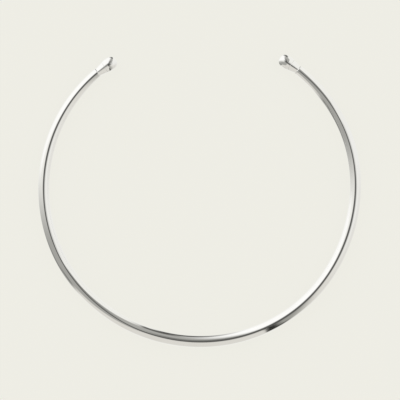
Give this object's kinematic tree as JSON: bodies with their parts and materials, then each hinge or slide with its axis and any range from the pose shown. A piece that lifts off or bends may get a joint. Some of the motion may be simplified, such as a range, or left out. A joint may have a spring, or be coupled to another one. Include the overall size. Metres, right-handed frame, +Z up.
{
  "type": "rigid collar necklace",
  "caption": "Rigid, open collar necklace: one round polished rod bent to an oval, thinner towards its ends, which carry small flared, blunt-nosed caps at an opening for the nape. It lies flat.",
  "frame": {"origin": "on the surface that the ring lies on, under the middle of its outer box", "axes": "+Z up, +Y towards the opening at the nape, -Y towards the front of the ring, +X to the right of the ring seen from above with the opening away from the viewer"},
  "size_m": [0.1398, 0.1266, 0.0051],
  "materials": {
    "polished_silver": "polished"
  },
  "bodies": {
    "root": {"neck_ring": "polished_silver", "end_cap_left": "polished_silver", "end_cap_right": "polished_silver"}
  },
  "joints": []
}
